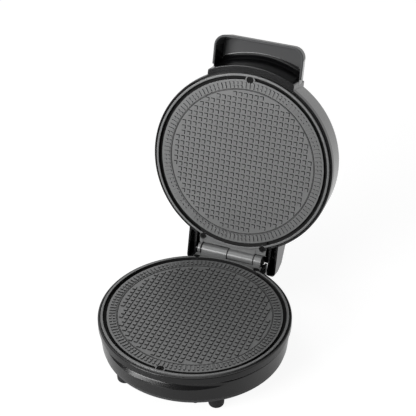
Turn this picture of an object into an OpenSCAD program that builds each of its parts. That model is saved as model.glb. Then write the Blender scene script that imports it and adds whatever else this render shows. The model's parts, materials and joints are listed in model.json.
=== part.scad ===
// Waffle cone maker: two round cast plates in drum-shaped plastic housings, joined by
// interleaved cast knuckles on one hinge pin, with a hollow scoop handle on the lid.
// Millimetres. The origin lies on the table under the middle of the open maker, +Z is up
// and the side that the lid opens towards the user faces -Y. The lid is drawn open.

/* [Waffle plates] */
// Radius of the flat waffle field, out to the overflow channel
land_r = 91.7; // [86:0.1:95]
// Width of the overflow channel
channel_w = 3.8; // [2:0.1:4]
// Depth of the overflow channel
channel_depth = 2.2; // [1:0.1:3]
// Width of the raised rim outside the channel
rim_w = 2.6; // [2:0.1:3]
// Height of the raised rim over the waffle field
rim_rise = 1.1; // [0.4:0.1:1.3]
// Thickness of the plate under the waffle field
plate_t = 7; // [6.4:0.1:8]
// Thickness of the plate's outer flange, which rests in the housing
flange_t = 4.4; // [3.6:0.1:4.8]
// Spacing of the waffle grid
grid_pitch = 6; // [5.5:0.1:9]
// Width of one waffle stud
stud_w = 4.4; // [2:0.1:4.8]
// Height of one waffle stud
stud_h = 1.1; // [0.6:0.1:1.3]
// Space between the stud field and the overflow channel, for the circle and the tick band
grid_margin = 13.9; // [12:0.1:20]
// Length of the ticks round the waffle field
tick_length = 6.6; // [4:0.1:8]
// Width of one tick
tick_w = 1.3; // [0.8:0.1:2]
// Space between the two waffle fields when the lid is shut
plate_gap = 3; // [2.8:0.1:5]

/* [Hinge] */
// Distance from the plates' edge back to the hinge axis
hinge_setback = 8.9; // [8.5:0.1:12]
// Half width of the plates' hinge tabs
hinge_half = 38.4; // [34:0.1:44]
// Radius of the cast hinge barrels
barrel_r = 6; // [5.2:0.1:6.4]
// Radius of the hinge pin
pin_r = 2.5; // [1.8:0.1:3]
// Radial running clearance of the pin in its barrels
pin_fit = 0.06; // [0.02:0.01:0.1]
// Clearance between neighbouring barrels and tabs
knuckle_gap = 0.4; // [0.3:0.05:0.5]
// Angle between the plates when the lid lies open on its stop
open_angle = 104.5; // [95:0.5:108]

/* [Housings] */
// Width of the housings' rim outside the plate
bead_w = 2.4; // [2:0.1:4]
// How much smaller each housing's far end is, in radius
housing_taper = 3.5; // [2:0.1:5]
// Wall thickness of the housings
wall = 2.4; // [2:0.1:2.6]
// Height of the base shell, from the waffle field down to its lower edge
base_h = 33.5; // [32:0.1:42]
// Height of the lid shell, from the waffle field up to its top
lid_h = 40; // [38:0.1:48]
// Clearance of a plate in its housing
plate_fit = 0.5; // [0.3:0.1:0.6]
// Radius of the rounded far edge of the lid
crown_r = 4; // [3:0.1:6]
// How far the hinge bay of the base reaches behind the hinge axis
bay_overhang = 7.5; // [7:0.1:14]

/* [Handle and front lip] */
// Width of the handle at its open rim
handle_w = 100; // [90:0.5:110]
// How far the handle stands out in front of the lid
handle_out = 29.5; // [24:0.1:44]
// Depth of the handle scoop
handle_depth = 22; // [18:0.1:25]
// How far the scoop's sides lean in over its depth
handle_draft = 3.5; // [1:0.1:6]
// Wall thickness of the handle
handle_wall = 2.6; // [2:0.1:3]
// Corner radius of the handle
handle_corner = 13; // [8:0.5:16]
// How far the front lip stands out from the housing
lip_out = 5.5; // [4.5:0.1:7]
// Depth of the finger recess in the front of the base
recess_depth = 4.8; // [2:0.1:5]

/* [Feet and cover] */
// Height of the feet under the bottom cover
foot_h = 15; // [10:0.5:20]
// Radius of each foot at its top
foot_r = 8.8; // [8:0.1:9]
// Distance of the front feet's centres from the edge of the base
foot_inset = 12.5; // [11:0.1:20]
// Thickness of the bottom cover
cover_t = 2.4; // [2:0.1:3]

/* [Heaters] */
// Distance of each heater's ring from the edge of the waffle field
element_inset = 33.7; // [26:0.1:42]
// Radius of the heater's metal tube
element_r = 3.3; // [2.8:0.1:3.4]

/* [Hidden] */
$fn = 96;
eps = 0.01;
fit = 0.1;                                  // seating clearance between pieces of one body

// Heights
cover_z = foot_h;                           // underside of the bottom cover
shell_z = cover_z + cover_t;                // lower edge of the base shell
face_z = shell_z + base_h;                  // lower waffle field
hinge_z = face_z + plate_gap / 2;           // hinge axis, half way between the fields

// Plate
channel_r = land_r + channel_w;
plate_r = channel_r + rim_w;
flange_in_r = land_r + 0.3;                 // where the thick middle steps up to the flange
grid_r = land_r - grid_margin;
circle_r = grid_r + 3.2;                    // thin line round the waffle grid
circle_w = 0.8;
circle_h = 0.4;
tick_out_r = land_r - 2.5;
tick_in_r = tick_out_r - tick_length;
tick_h = 0.7;
tick_groups = 20;                           // each is three long ticks and three split ones
hinge_back = plate_r + hinge_setback;
screw_ring = land_r + 0.4;                  // front plate screw, in the channel
rear_screw_x = hinge_half - 3.8;
rear_screw_y = sqrt(pow(plate_r + 1.24, 2) - pow(rear_screw_x, 2));
screw_land_r = 5.2;
sink_r = 3.9;
sink_depth = 2.6;
tab_lo = 0.6;                               // face of the hinge tab below the waffle field
tab_hi = flange_t;
tab_in = flange_in_r - 24;
web_rise = 0.7;                             // a knuckle's web stands this far over the tab
web_run = 4;
notch_fit = knuckle_gap + 0.2;
tab_end = hinge_back - barrel_r - knuckle_gap - 0.3;

// Knuckles along the hinge, as [left end, right end]
upper_short = [0.8 - hinge_half, 3.8 - hinge_half];
lower_long = [5.6 - hinge_half, -3.3];
upper_long = [lower_long[1] + knuckle_gap, hinge_half - 11.4];
lower_short = [upper_long[1] + knuckle_gap, hinge_half - 2.4];

// Screws
screw_r = 1.75;
screw_fit = 0.1;
screw_pass = 0.35;                          // radial clearance of a screw in a through hole
head_r = 3.1;
head_h = 2;
slot_w = 0.7;
slot_depth = 0.9;
plate_screw_l = 10;
thread_bite = 7;
boss_r = 4;
boss_fit = 0.5;
boss_h = 14;

// Heater stack, measured from the waffle field
element_ring = land_r - element_inset;
element_fit = 0.15;
element_gap_angle = 34;                     // open part of the ring, at the back
post_angle = element_gap_angle / 2 + 3.5;   // the two terminal posts, inside the ring's ends
post_r = element_r - 0.6;
post_h = 8;
stem_r = 1.2;
stem_h = 5;
reflector_r = land_r - 7.7;
reflector_t = 0.8;
reflector_rise = 2;
reflector_z = plate_t + element_r + element_fit;
reflector_screw_ring = element_ring - 18;
reflector_angles = [90, 210, 330];
thermostat_r = 8;
thermostat_h = 5;

// Housings
housing_r = plate_r + plate_fit + bead_w;
housing_end_r = housing_r - housing_taper;
shell_in_r = housing_end_r - wall;
ledge_z = flange_t + fit;                   // plate seat below the waffle field
rim_in_r = plate_r + plate_fit;
rim_hi = 0.5;                               // upper end of the rim bead
rim_lo = 8.5;                               // lower end of the rim bead
bead_r = 2;
groove_w = 1.8;
groove_depth = 3;
shell_step = 1.4;
edge_r = 2;
bay_half = hinge_half + 0.6 + wall;
bay_back = hinge_back + bay_overhang;
rear_land_r = min(screw_land_r, bay_half - wall - rear_screw_x - 0.2);
bay_corner = 6;
ear_r = 8;
window_w = 40;
window_z = 13;
window_h = 15;
arm_in = bay_half + 0.7;
arm_w = 9.7;
arm_out = arm_in + arm_w;
arm_end = hinge_back + 16;
arm_h = 22;
arm_wall = 2.4;
arm_corner = 4.8;
hinge_slot_z = 9;                           // height of the lid's slot for the upper tab
apron_z = hinge_slot_z + 0.5;               // wall of the lid behind the hinge, between the arms
apron_end = hinge_back + 5;
rear_half = arm_in + arm_wall;              // half width of the lid's rear block
rear_y = plate_r + 1.9;
rear_z = 8;
back_drop = 8;                              // rear block and arms end this far below the roof
roof_z = lid_h - 0.6;
dome = [0.8, 1.4];                          // rise of the lid's roof, half way in and at its middle
dome_r = housing_r * 0.6;
lip_r = housing_r + lip_out;
lip_half = handle_w / 2 - 2;
lip_in_r = housing_r - 2;
seam_r = housing_r + 1.5;                   // where the handle's neck seats on the lid
seam_fit = 0.18;                            // clearance of the curved neck on the lid
handle_reach = housing_r + handle_out;
handle_rim = lid_h - handle_depth;          // height of the scoop's rim over the field
handle_edge = 3;                            // rounded edge of the scoop's roof
skirt_end = housing_r - 4;                  // where the scoop's sides end beside the lip
neck_sweep = 8;
handle_screw_x = handle_w * 0.28;
handle_screw_z = handle_rim + handle_depth / 2;
handle_screw_y = seam_r - 8.5;              // inner seat of the handle screws
handle_screw_l = 8;
recess_back = 25;
recess_r = housing_r - shell_step - recess_depth + recess_back;
recess_wall_h = 5;
recess_run = 5;
recess_slope = 5.5;
backing_h = 20;
cover_fit = 1;
cover_screw_ring = shell_in_r - 3.2;
cover_boss_z = 19;
cover_screw_angles = [14, 166, -68, -112];
foot_ring = housing_end_r - foot_inset;
foot_front_angle = 53.6;
rear_foot_x = bay_half - 13.4;
rear_foot_y = bay_back - 13.5;
foot_sink = 7;
foot_boss_h = 7;
cord_x = -18;
cord_z = 22;
cord_hole_r = 6;
cord_bore_r = 3.6;
block_w = 30;
block_d = 16;
block_h = 10;
vents = 4;                                  // slots in the cover on each side of its middle
vent_step = 8;
vent_w = 3;
vent_l = 44;

// Distance from the plate's centre back to the middle of the maker: half way between the
// front of the base and the back of the open lid
back_reach = hinge_back
    - (handle_reach - handle_draft - handle_edge + hinge_back) * cos(open_angle)
    + (roof_z + plate_gap / 2) * sin(open_angle);
origin_y = (back_reach - housing_r) / 2;

// ---- Shared shapes ----

// Quarter disc that rounds an outline's outer corner, above its centre or below it
module quarter(x, y, r, up) {
    translate([x, y]) intersection() {
        circle(r = r, $fn = 64);
        translate([0, up ? 0 : -r]) square(r);
    }
}

// A revolved ring with a rectangular section
module ring(r_out, r_in, h) {
    difference() {
        cylinder(r = r_out, h = h);
        translate([0, 0, -1]) cylinder(r = r_in, h = h + 2);
    }
}

// A rectangle with its two far corners rounded
module rounded_end(left, right, near, far, r) {
    translate([left, near]) square([right - left, far - near - r]);
    translate([left + r, near]) square([right - left - 2 * r, far - near]);
    for (x = [left + r, right - r]) translate([x, far - r]) circle(r = r, $fn = 48);
}

// A pan-head screw along +Z, with the head's underside at z = 0 and a crossed slot
module screw(length) {
    difference() {
        union() {
            translate([0, 0, -head_h]) cylinder(r = head_r, h = head_h, $fn = 48);
            translate([0, 0, -eps]) cylinder(r = screw_r, h = length + eps, $fn = 32);
        }
        for (a = [0, 90]) rotate(a) translate([-head_r * 0.6, -slot_w / 2, -head_h - eps])
            cube([head_r * 1.2, slot_w, slot_depth]);
    }
}

// Places its children at the three plate screws
module at_plate_screws() {
    translate([0, -screw_ring, 0]) children();
    at_rear_screws() children();
}

module at_rear_screws() {
    for (s = [-1, 1]) translate([s * rear_screw_x, rear_screw_y, 0]) children();
}

// Places its children at the three reflector screws
module at_reflector_screws() {
    for (a = reflector_angles) rotate(a) translate([reflector_screw_ring, 0, 0]) children();
}

// Moves a piece drawn about the lower plate's centre to the middle of the whole maker
module placed() {
    translate([0, -origin_y, 0]) children();
}

// Turns a lid piece from the shut to the open position about the hinge axis
module opened() {
    placed() translate([0, hinge_back, hinge_z]) rotate([-open_angle, 0, 0])
        translate([0, -hinge_back, -hinge_z]) children();
}

// Draws a piece of the lid from a z = 0 at the upper waffle field, with +Z away from it
module lid_frame() {
    opened() translate([0, 0, face_z + plate_gap]) children();
}

// Draws a piece of the base from a z = 0 at the lower waffle field, with +Z away from it
module base_frame() {
    placed() translate([0, 0, face_z]) mirror([0, 0, 1]) children();
}

// ---- Waffle plates, drawn face down: z = 0 is the waffle field, the studs point to -Z ----

module plate_section() {
    slope = 0.5;
    edge = 0.9;
    rotate_extrude($fn = 180) polygon([
        [0, 0], [land_r, 0], [land_r + slope, channel_depth], [channel_r - slope, channel_depth],
        [channel_r, 0.4 - rim_rise], [channel_r + slope, -rim_rise], [plate_r - edge, -rim_rise],
        [plate_r, edge - rim_rise], [plate_r, flange_t], [flange_in_r, flange_t],
        [flange_in_r - 1, plate_t], [0, plate_t]
    ]);
}

// Flat squares in rows that fill the round waffle field
module stud_field() {
    n = ceil(grid_r / grid_pitch);
    for (i = [-n:n - 1], j = [-n:n - 1]) {
        spot = [(i + 0.5) * grid_pitch, (j + 0.5) * grid_pitch];
        if (norm(spot) <= grid_r) translate(spot) square(stud_w, center = true);
    }
}

// Flat plan of the tick band: groups of three long ticks and three split ones
module tick_band() {
    step = 360 / tick_groups / 6;
    split = tick_length * 0.4;
    for (g = [0:tick_groups - 1], k = [-1:1]) {
        rotate(g * 6 * step + k * step - 90)
            translate([tick_in_r, -tick_w / 2]) square([tick_length, tick_w]);
        rotate((g * 6 + 3) * step + k * step - 90) {
            translate([tick_in_r, -tick_w / 2]) square([split, tick_w]);
            translate([tick_out_r - split, -tick_w / 2]) square([split, tick_w]);
        }
    }
}

// One cast barrel on the hinge axis with the web that joins it to the plate's tab
module knuckle(span) {
    axis_z = -plate_gap / 2;
    long = span[1] - span[0];
    translate([span[0], hinge_back, axis_z]) rotate([0, 90, 0]) cylinder(r = barrel_r, h = long);
    translate([span[0], tab_end - web_run, tab_lo - web_rise])
        cube([long, hinge_back - tab_end + web_run, tab_hi - tab_lo + web_rise]);
}

// Flat tab behind the plate, hollowed out along the hinge so that its edge follows the barrels
module hinge_tab() {
    difference() {
        translate([-hinge_half, tab_in, tab_lo])
            cube([hinge_half * 2, hinge_back - tab_in - barrel_r * 0.45, tab_hi - tab_lo]);
        translate([-hinge_half - 1, hinge_back, -plate_gap / 2]) rotate([0, 90, 0])
            cylinder(r = barrel_r + notch_fit, h = hinge_half * 2 + 2);
    }
}

// A cast plate with its own knuckles; the other plate's knuckles swing in its notches
module cast_plate(own, other) {
    axis_z = -plate_gap / 2;
    difference() {
        union() {
            plate_section();
            translate([0, 0, -stud_h]) linear_extrude(stud_h + 0.2) stud_field();
            translate([0, 0, -tick_h]) linear_extrude(tick_h + 0.2) tick_band();
            translate([0, 0, -circle_h])
                ring(circle_r + circle_w / 2, circle_r - circle_w / 2, circle_h + 0.2);
            hinge_tab();
            translate([0, -screw_ring, 0]) cylinder(r = screw_land_r, h = flange_t, $fn = 48);
            at_rear_screws() cylinder(r = rear_land_r, h = flange_t, $fn = 48);
            for (k = own) knuckle(k);
            at_reflector_screws() translate([0, 0, plate_t - eps])
                cylinder(r = boss_r, h = reflector_z - plate_t + eps, $fn = 48);
        }
        for (k = own) translate([k[0] - 1, hinge_back, axis_z]) rotate([0, 90, 0])
            cylinder(r = pin_r + pin_fit, h = k[1] - k[0] + 2, $fn = 64);
        for (k = other) translate([k[0] - knuckle_gap, hinge_back, axis_z]) rotate([0, 90, 0])
            cylinder(r = barrel_r + notch_fit, h = k[1] - k[0] + 2 * knuckle_gap);
        at_plate_screws() {
            translate([0, 0, -3]) cylinder(r = sink_r, h = 3 + sink_depth, $fn = 48);
            cylinder(r = screw_r + screw_pass, h = plate_t * 2, $fn = 32);
        }
        translate([0, -screw_ring, flange_t]) cylinder(r = boss_r + boss_fit, h = plate_t, $fn = 48);
        at_reflector_screws() translate([0, 0, plate_t - 2])
            cylinder(r = screw_r + screw_fit, h = reflector_z, $fn = 32);
        element_groove();
    }
}

// The groove in the plate's back that the heater's tube lies in
module element_groove() {
    translate([0, 0, plate_t]) rotate(90 + element_gap_angle / 2 - 4)
        rotate_extrude(angle = 368 - element_gap_angle)
            translate([element_ring, 0]) circle(r = element_r + element_fit, $fn = 32);
}

module lower_plate() {
    color([0.24, 0.24, 0.25]) base_frame()
        cast_plate([lower_long, lower_short], [upper_short, upper_long]);
}

module upper_plate() {
    color([0.4, 0.41, 0.41]) lid_frame()
        cast_plate([upper_short, upper_long], [lower_long, lower_short]);
}

// Plate screws: heads sunk in the plate's face, shanks into the housing's bosses
module plate_screw_set() {
    at_plate_screws() translate([0, 0, sink_depth]) screw(plate_screw_l);
}

module lower_plate_screws() {
    color([0.1, 0.1, 0.1]) base_frame() plate_screw_set();
}

module upper_plate_screws() {
    color([0.1, 0.1, 0.1]) lid_frame() plate_screw_set();
}

// ---- Heaters ----

// Tubular heater: an open ring in the plate's groove with two terminal posts
module element() {
    translate([0, 0, plate_t]) {
        rotate(90 + element_gap_angle / 2) rotate_extrude(angle = 360 - element_gap_angle)
            translate([element_ring, 0]) circle(r = element_r, $fn = 32);
        at_posts() {
            cylinder(r = post_r, h = post_h, $fn = 32);
            cylinder(r = stem_r, h = post_h + stem_h, $fn = 24);
        }
    }
}

// Places its children at the heater's two terminal posts
module at_posts() {
    for (s = [-1, 1]) rotate(90 + s * post_angle) translate([element_ring, 0, 0]) children();
}

// Pressed sheet pan that holds the heater against the plate and keeps heat off the housing
module reflector() {
    difference() {
        union() {
            translate([0, 0, reflector_z]) cylinder(r = reflector_r, h = reflector_t);
            translate([0, 0, reflector_z - reflector_rise])
                ring(reflector_r, reflector_r - reflector_t, reflector_rise + eps);
        }
        at_reflector_screws() cylinder(r = screw_r + screw_pass, h = lid_h, $fn = 32);
        at_posts() cylinder(r = element_r + 1, h = lid_h, $fn = 32);
        cylinder(r = thermostat_r + 0.5, h = lid_h);
    }
}

module reflector_screw_set() {
    at_reflector_screws() translate([0, 0, reflector_z + reflector_t]) mirror([0, 0, 1])
        screw(reflector_z + reflector_t - plate_t + 1.5);
}

// Snap-disc thermostat on the plate's back, reaching through the reflector
module snap_disc() {
    blade = [0.8, 4.8, 7];
    cap_h = 4;
    translate([0, 0, plate_t]) {
        cylinder(r = thermostat_r, h = thermostat_h);
        translate([0, 0, thermostat_h - eps]) cylinder(r = thermostat_r - 2, h = cap_h);
        for (s = [-1, 1]) translate([(s * thermostat_r - blade[0]) / 2, -blade[1] / 2,
            thermostat_h + cap_h - 1]) cube(blade);
    }
}

module lower_element() {
    color([0.5, 0.5, 0.5]) base_frame() element();
}

module upper_element() {
    color([0.5, 0.5, 0.5]) lid_frame() element();
}

module lower_reflector() {
    color([0.75, 0.75, 0.76]) base_frame() reflector();
}

module upper_reflector() {
    color([0.75, 0.75, 0.76]) lid_frame() reflector();
}

module lower_reflector_screws() {
    color([0.7, 0.7, 0.7]) base_frame() reflector_screw_set();
}

module upper_reflector_screws() {
    color([0.7, 0.7, 0.7]) lid_frame() reflector_screw_set();
}

module thermostat() {
    color([0.85, 0.8, 0.7]) base_frame() snap_disc();
}

module upper_thermostat() {
    color([0.85, 0.8, 0.7]) lid_frame() snap_disc();
}

// One-shot thermal fuse in a sleeve, clipped flat on the lower reflector
module thermal_fuse() {
    sleeve_r = 2;
    sleeve_l = 14;
    clip = [6, 6, 0.8];
    color([0.9, 0.88, 0.8]) base_frame() translate([20, -14, reflector_z + reflector_t]) {
        translate([0, 0, sleeve_r]) rotate([0, 90, 0]) cylinder(r = sleeve_r, h = sleeve_l, $fn = 32);
        translate([(sleeve_l - clip[0]) / 2, -clip[1] / 2, 0]) cube(clip);
    }
}

// ---- Hinge ----

pin_left = upper_short[0];
pin_right = lower_short[1];
pin_head_t = 0.9;
clip_t = 0.8;
clip_w = 1.6;

// Pin with a flat head on the left and a clip groove on the right
module hinge_pin() {
    color([0.6, 0.6, 0.62]) placed() translate([0, hinge_back, hinge_z]) rotate([0, 90, 0]) {
        translate([0, 0, pin_left - knuckle_gap - pin_head_t])
            cylinder(r = pin_r + 1, h = pin_head_t, $fn = 64);
        difference() {
            translate([0, 0, pin_left - knuckle_gap - fit])
                cylinder(r = pin_r, h = pin_right - pin_left + 2.9, $fn = 64);
            translate([0, 0, pin_right + knuckle_gap]) ring(pin_r + 1, pin_r - 0.6, clip_t + fit);
        }
    }
}

// Open spring clip in the pin's groove
module pin_clip() {
    mouth = pin_r * 1.1;
    color([0.55, 0.55, 0.58]) placed()
        translate([pin_right + knuckle_gap + fit / 2, hinge_back, hinge_z])
            rotate([0, 90, 0]) difference() {
                ring(pin_r + clip_w, pin_r - 0.55, clip_t);
                translate([-mouth / 2, 0, -1]) cube([mouth, pin_r * 4, 3]);
            }
}

// ---- Base, drawn upside down: z = 0 is the waffle field, +Z points to the table ----

// Outline of the base shell: rim bead, shadow groove and the drum below it
module base_section() {
    drum_z = rim_lo + groove_w;
    polygon([
        [rim_in_r, rim_hi + 0.4], [rim_in_r + 0.4, rim_hi], [housing_r - bead_r, rim_hi],
        [housing_r, rim_hi + bead_r], [housing_r, rim_lo - 0.8], [housing_r - 0.8, rim_lo],
        [housing_r - groove_depth, rim_lo], [housing_r - groove_depth, drum_z],
        [housing_r - shell_step - 0.8, drum_z], [housing_r - shell_step, drum_z + 0.9],
        [housing_end_r, base_h - edge_r], [housing_end_r - edge_r, base_h],
        [shell_in_r, base_h], [shell_in_r, ledge_z], [rim_in_r, ledge_z]
    ]);
    quarter(housing_r - bead_r, rim_hi + bead_r, bead_r, false);
    quarter(housing_end_r - edge_r, base_h - edge_r, edge_r, true);
}

// Plan of the hinge bay behind the drum
module bay_plan(inset) {
    rounded_end(inset - bay_half, bay_half - inset, land_r * 0.65, bay_back - inset, bay_corner);
}

// Side view of the bay's ears: level with the rim, then rounded down behind the hinge
module ear_side() {
    near = land_r * 0.65;
    translate([near, rim_hi]) square([bay_back - ear_r - near, base_h - rim_hi]);
    translate([near, rim_hi + ear_r]) square([bay_back - near, base_h - rim_hi - ear_r]);
    translate([bay_back - ear_r, rim_hi + ear_r]) circle(r = ear_r, $fn = 64);
}

// Finger recess round the front: a revolve about an axis behind the centre, so that it
// runs out at both ends
module finger_recess() {
    far = recess_r + 30;
    wall_z = rim_lo + recess_wall_h;
    translate([0, recess_back, 0]) intersection() {
        rotate_extrude($fn = 180) polygon([
            [recess_r, rim_lo], [recess_r, wall_z], [recess_r + recess_run * 0.3, wall_z + 2.4],
            [recess_r + recess_run, wall_z + recess_slope], [far, wall_z + recess_slope],
            [far, rim_lo]
        ]);
        translate([-housing_r, -recess_back - 2 * housing_r, 0])
            cube([housing_r * 2, housing_r * 1.6, base_h * 2]);
    }
}

// The wall behind the finger recess
module recess_backing() {
    difference() {
        translate([0, 0, ledge_z]) cylinder(r = shell_in_r + 0.3, h = backing_h);
        translate([0, recess_back, 0]) cylinder(r = recess_r - wall, h = base_h * 2);
        translate([-housing_r, -housing_r * 0.4, 0]) cube([housing_r * 2, housing_r * 2, base_h * 2]);
    }
}

// The room that a plate's flange needs in its housing
module plate_room() {
    translate([0, 0, -1]) cylinder(r = rim_in_r, h = ledge_z + 1, $fn = 180);
}

// The squared-off box behind the drum that the hinge lies in
module hinge_bay() {
    difference() {
        intersection() {
            linear_extrude(base_h) bay_plan(0);
            rotate([90, 0, 90]) translate([0, 0, -housing_r]) linear_extrude(housing_r * 2) ear_side();
        }
        translate([0, 0, -1]) linear_extrude(base_h + 2) bay_plan(wall);
        translate([0, 0, -5]) cylinder(r = shell_in_r + 0.6, h = base_h * 2);
        plate_room();
    }
}

// The gap in the rim and in the bay's top that the cast tabs and barrels lie in
module hinge_opening() {
    half = bay_half - wall;
    above = 5;
    translate([-half, tab_in, -above]) cube([half * 2, bay_back - tab_in - wall, above + ledge_z]);
    translate([-half, rear_y - 3.5, -above])
        cube([half * 2, bay_back - rear_y + 9, above + barrel_r - plate_gap / 2 + 3.2]);
}

module base_housing() {
    color([0.13, 0.13, 0.14]) base_frame() difference() {
        union() {
            rotate_extrude($fn = 180) base_section();
            hinge_bay();
            recess_backing();
            translate([0, -screw_ring, ledge_z]) cylinder(r = boss_r, h = boss_h, $fn = 48);
            at_rear_screws() translate([0, 0, ledge_z])
                cylinder(r = boss_r, h = base_h - ledge_z - fit, $fn = 48);
            at_cover_screws() translate([0, 0, cover_boss_z])
                cylinder(r = boss_r, h = base_h - cover_boss_z - fit, $fn = 48);
        }
        finger_recess();
        hinge_opening();
        at_plate_screws() cylinder(r = screw_r + screw_fit, h = ledge_z + boss_h - 3, $fn = 32);
        at_cover_screws() translate([0, 0, cover_boss_z + 2])
            cylinder(r = screw_r + screw_fit, h = base_h, $fn = 32);
        translate([-window_w / 2, shell_in_r - 7, window_z]) cube([window_w, 12, window_h]);
        translate([cord_x, bay_back + 1, cord_z]) rotate([90, 0, 0])
            cylinder(r = cord_hole_r, h = wall * 4, $fn = 64);
    }
}

// Places its children at the bottom cover's screws
module at_cover_screws() {
    for (a = cover_screw_angles) rotate(a) translate([cover_screw_ring, 0, 0]) children();
}

// Bottom cover under the shell and the bay, with foot seats, vents and a stiffening ring
module bottom_cover() {
    t = cover_t - fit;
    color([0.3, 0.3, 0.31]) placed() translate([0, 0, cover_z]) difference() {
        union() {
            cylinder(r = housing_end_r - cover_fit, h = t, $fn = 180);
            linear_extrude(t) bay_plan(cover_fit);
            translate([0, 0, t - fit]) ring(element_ring + 4, element_ring + 2, 3);
            at_feet() translate([0, 0, t - fit]) cylinder(r = boss_r, h = foot_boss_h, $fn = 48);
        }
        at_feet() translate([0, 0, -1]) cylinder(r = screw_r + screw_fit, h = foot_boss_h * 2, $fn = 32);
        at_cover_screws() translate([0, 0, -1])
            cylinder(r = screw_r + screw_pass, h = cover_t * 4, $fn = 32);
        for (i = [-vents:vents]) translate([i * vent_step - vent_w / 2, -vent_l / 2, -1])
            cube([vent_w, vent_l, cover_t * 4]);
    }
}

module cover_screws() {
    color([0.2, 0.2, 0.2]) placed() translate([0, 0, cover_z]) at_cover_screws()
        screw(cover_t + thread_bite + 2);
}

// Places its children at the four feet
module at_feet() {
    for (s = [-1, 1]) {
        rotate(-90 + s * (90 - foot_front_angle)) translate([foot_ring, 0, 0]) children();
        translate([s * rear_foot_x, rear_foot_y, 0]) children();
    }
}

// Rubber feet: tapered posts with rounded ends, each with a sunk screw
module feet() {
    top = foot_h - fit;
    tip = foot_r - 0.9;
    round_r = 2.6;
    color([0.07, 0.07, 0.07]) placed() at_feet() difference() {
        rotate_extrude() {
            polygon([[0, 0], [tip - round_r, 0], [tip, round_r], [foot_r, top - 1], [foot_r, top],
                [0, top]]);
            quarter(tip - round_r, round_r, round_r, false);
        }
        translate([0, 0, -1]) cylinder(r = screw_r + screw_pass, h = foot_h + 2, $fn = 32);
        translate([0, 0, -1]) cylinder(r = head_r + 0.4, h = foot_sink + 1, $fn = 48);
    }
}

module foot_screws() {
    color([0.6, 0.6, 0.62]) placed() at_feet() translate([0, 0, foot_sink])
        screw(foot_h - foot_sink + cover_t + 4);
}

// Rubber bush in the cord hole of the bay's rear wall
module cord_gland() {
    lip = 2;
    color([0.08, 0.08, 0.08]) placed() translate([cord_x, bay_back, face_z - cord_z])
        rotate([90, 0, 0]) difference() {
            union() {
                translate([0, 0, -lip - fit]) cylinder(r = cord_hole_r + lip, h = lip, $fn = 64);
                translate([0, 0, -2 * fit]) cylinder(r = cord_hole_r - fit, h = wall + 5 * fit, $fn = 64);
                translate([0, 0, wall + fit]) cylinder(r = cord_hole_r + 1.2, h = 1.5, $fn = 64);
            }
            translate([0, 0, -wall * 2]) cylinder(r = cord_bore_r, h = wall * 8, $fn = 48);
        }
}

// Terminal block on the bottom cover, with a screw well for each wire
module terminal_block() {
    step = block_w * 0.3;
    color([0.9, 0.9, 0.86]) placed() translate([-12, shell_in_r - 29, cover_z + cover_t])
        difference() {
            cube([block_w, block_d, block_h]);
            for (i = [-1:1]) translate([block_w / 2 + i * step, block_d / 2, block_h * 0.4]) {
                cylinder(r = 2.6, h = block_h, $fn = 32);
                translate([0, block_d, 0]) rotate([90, 0, 0]) cylinder(r = 1.6, h = block_d * 2, $fn = 24);
            }
        }
}

// ---- Lid, drawn shut from the upper waffle field: +Z points up ----

// Outline of the lid shell: rim bead, tapering wall, rounded edge and slightly domed roof
module lid_section() {
    bead = 1.6;
    edge_out = housing_end_r + 0.5;
    polygon([
        [rim_in_r, rim_hi + 0.4], [rim_in_r + 0.4, rim_hi], [housing_r - bead, rim_hi],
        [housing_r, rim_hi + bead], [housing_r, 7], [edge_out, roof_z - crown_r],
        [edge_out - crown_r, roof_z], [dome_r, lid_h + dome[0]], [0, lid_h + dome[1]],
        [0, lid_h + dome[1] - wall], [dome_r, lid_h + dome[0] - wall],
        [edge_out - crown_r, roof_z - wall], [shell_in_r - 1, roof_z - crown_r],
        [shell_in_r, ledge_z], [rim_in_r, ledge_z]
    ]);
    quarter(housing_r - bead, rim_hi + bead, bead, false);
    quarter(edge_out - crown_r, roof_z - crown_r, crown_r, true);
}

// Side view of a hinge arm: level face, slanted end and a shoulder into the drum
module arm_side() {
    near = land_r * 0.65;
    polygon([[near, rim_hi], [arm_end - 2, rim_hi], [arm_end, 2.5], [arm_end - 0.6, 6],
        [arm_end - 8, arm_h - 2], [arm_end - 12, arm_h], [hinge_back - 6, arm_h + 4],
        [rear_y - 4, lid_h - back_drop], [near, lid_h - back_drop]]);
}

// A hollow arm beside the hinge, open towards the face
module hinge_arm() {
    near = land_r * 0.65;
    difference() {
        intersection() {
            linear_extrude(lid_h) rounded_end(arm_in, arm_out, near, arm_end, arm_corner);
            rotate([90, 0, 90]) linear_extrude(housing_r) arm_side();
        }
        translate([0, 0, -1]) intersection() {
            linear_extrude(lid_h) rounded_end(arm_in + arm_wall, arm_out - arm_wall, near,
                arm_end - arm_wall, arm_corner - arm_wall);
            rotate([90, 0, 90]) linear_extrude(housing_r) translate([-arm_wall, -arm_wall]) arm_side();
        }
        translate([0, 0, -1]) cylinder(r = shell_in_r + 0.6, h = lid_h);
        plate_room();
    }
}

// Curved front lip: a bulge of the drum's wall that the handle is screwed to
module front_lip() {
    intersection() {
        union() {
            translate([0, 0, rim_hi]) ring(lip_r, lip_in_r, handle_rim - rim_hi);
            translate([0, 0, handle_rim - 1]) ring(seam_r, lip_in_r, roof_z - handle_rim);
        }
        translate([-lip_half, -lip_r * 1.4, 0]) cube([lip_half * 2, lip_r * 0.6, lid_h]);
    }
}

// The lid's inner space behind the front lip
module lip_hollow() {
    low = ledge_z + wall + 1;
    intersection() {
        translate([0, 0, low]) {
            ring(lip_r - wall, shell_in_r - 6, handle_rim - wall - low);
            ring(seam_r - wall, shell_in_r - 6, lid_h - 2 - wall - low);
        }
        translate([wall - lip_half, -lip_r * 1.4, 0])
            cube([(lip_half - wall) * 2, lip_r * 0.8, lid_h]);
    }
}

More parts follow.
